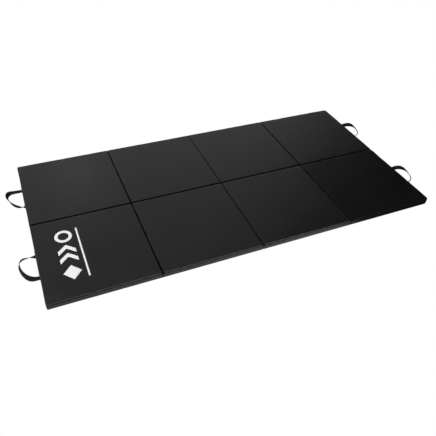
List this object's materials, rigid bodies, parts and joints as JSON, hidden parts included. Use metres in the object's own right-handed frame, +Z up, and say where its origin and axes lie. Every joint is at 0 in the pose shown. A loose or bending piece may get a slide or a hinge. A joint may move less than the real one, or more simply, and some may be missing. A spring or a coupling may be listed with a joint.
{
  "type": "folding gym mat",
  "caption": "Folding exercise mat of square foam panels in satin vinyl covers: two accordion-folding strips joined side by side, with webbing carry handles at both ends.",
  "frame": {"origin": "middle of the mat's length and width, on the floor that it lies on", "axes": "+X along the mat's length, +Y across it from the front strip to the back strip, +Z up"},
  "size_m": [2.6024, 1.2, 0.04],
  "materials": {
    "foam": "matte closed-cell foam",
    "top_vinyl": "satin grained vinyl",
    "side_vinyl": "satin grained vinyl",
    "base_vinyl": "matte grained vinyl",
    "hinge_vinyl": "matte fabric-backed vinyl",
    "patch_vinyl": "satin grained vinyl",
    "webbing": "woven polypropylene",
    "hook_tape": "matte hook pile",
    "loop_tape": "matte loop pile"
  },
  "bodies": {
    "front_1": {"foam_core_front_1": "foam", "top_cover_front_1": "top_vinyl", "side_wall_front_1": "side_vinyl", "bottom_cover_front_1": "base_vinyl", "hook_tape_front_1": "hook_tape", "handle_anchor_front_left": "patch_vinyl"},
    "front_2": {"foam_core_front_2": "foam", "top_cover_front_2": "top_vinyl", "side_wall_front_2": "side_vinyl", "bottom_cover_front_2": "base_vinyl", "hook_tape_front_2": "hook_tape", "hinge_web_front_1": "hinge_vinyl"},
    "front_3": {"foam_core_front_3": "foam", "top_cover_front_3": "top_vinyl", "side_wall_front_3": "side_vinyl", "bottom_cover_front_3": "base_vinyl", "hook_tape_front_3": "hook_tape", "hinge_web_front_2": "hinge_vinyl", "hinge_web_front_3": "hinge_vinyl"},
    "front_4": {"foam_core_front_4": "foam", "top_cover_front_4": "top_vinyl", "side_wall_front_4": "side_vinyl", "bottom_cover_front_4": "base_vinyl", "hook_tape_front_4": "hook_tape", "handle_anchor_front_right": "patch_vinyl"},
    "handle_front_left": {"carry_handle_front_left": "webbing"},
    "handle_front_right": {"carry_handle_front_right": "webbing"},
    "back_1": {"foam_core_back_1": "foam", "top_cover_back_1": "top_vinyl", "side_wall_back_1": "side_vinyl", "bottom_cover_back_1": "base_vinyl", "loop_tape_back_1": "loop_tape", "handle_anchor_back_left": "patch_vinyl"},
    "back_2": {"foam_core_back_2": "foam", "top_cover_back_2": "top_vinyl", "side_wall_back_2": "side_vinyl", "bottom_cover_back_2": "base_vinyl", "loop_tape_back_2": "loop_tape", "hinge_web_back_1": "hinge_vinyl"},
    "back_3": {"foam_core_back_3": "foam", "top_cover_back_3": "top_vinyl", "side_wall_back_3": "side_vinyl", "bottom_cover_back_3": "base_vinyl", "loop_tape_back_3": "loop_tape", "hinge_web_back_2": "hinge_vinyl", "hinge_web_back_3": "hinge_vinyl"},
    "back_4": {"foam_core_back_4": "foam", "top_cover_back_4": "top_vinyl", "side_wall_back_4": "side_vinyl", "bottom_cover_back_4": "base_vinyl", "loop_tape_back_4": "loop_tape", "handle_anchor_back_right": "patch_vinyl"},
    "handle_back_left": {"carry_handle_back_left": "webbing"},
    "handle_back_right": {"carry_handle_back_right": "webbing"}
  },
  "joints": [
    {"name": "strips_part", "type": "slide", "parent": "front_3", "child": "back_3", "axis": [0, 1, 0], "range_m": [0, 0.25]},
    {"name": "front_fold_2", "type": "hinge", "parent": "front_3", "child": "front_2", "pos_m": [0, -0.3015, 0.041], "axis": [0, 1, 0], "range_deg": [0, 180], "deforming": ["hinge_web_front_2"]},
    {"name": "front_fold_1", "type": "hinge", "parent": "front_2", "child": "front_1", "pos_m": [-0.6, -0.3015, -0.001], "axis": [0, -1, 0], "range_deg": [0, 180], "deforming": ["hinge_web_front_1"]},
    {"name": "front_fold_3", "type": "hinge", "parent": "front_3", "child": "front_4", "pos_m": [0.6, -0.3015, -0.001], "axis": [0, 1, 0], "range_deg": [0, 180], "deforming": ["hinge_web_front_3"]},
    {"name": "back_fold_2", "type": "hinge", "parent": "back_3", "child": "back_2", "pos_m": [0, 0.3015, 0.041], "axis": [0, 1, 0], "range_deg": [0, 180], "deforming": ["hinge_web_back_2"]},
    {"name": "back_fold_1", "type": "hinge", "parent": "back_2", "child": "back_1", "pos_m": [-0.6, 0.3015, -0.001], "axis": [0, -1, 0], "range_deg": [0, 180], "deforming": ["hinge_web_back_1"]},
    {"name": "back_fold_3", "type": "hinge", "parent": "back_3", "child": "back_4", "pos_m": [0.6, 0.3015, -0.001], "axis": [0, 1, 0], "range_deg": [0, 180], "deforming": ["hinge_web_back_3"]},
    {"name": "front_left_handle_swing", "type": "hinge", "parent": "front_1", "child": "handle_front_left", "pos_m": [-1.205, -0.3015, 0.016], "axis": [0, 1, 0], "range_deg": [0, 90]},
    {"name": "front_right_handle_swing", "type": "hinge", "parent": "front_4", "child": "handle_front_right", "pos_m": [1.205, -0.3015, 0.016], "axis": [0, -1, 0], "range_deg": [0, 90]},
    {"name": "back_left_handle_swing", "type": "hinge", "parent": "back_1", "child": "handle_back_left", "pos_m": [-1.205, 0.3015, 0.016], "axis": [0, 1, 0], "range_deg": [0, 90]},
    {"name": "back_right_handle_swing", "type": "hinge", "parent": "back_4", "child": "handle_back_right", "pos_m": [1.205, 0.3015, 0.016], "axis": [0, -1, 0], "range_deg": [0, 90]}
  ]
}
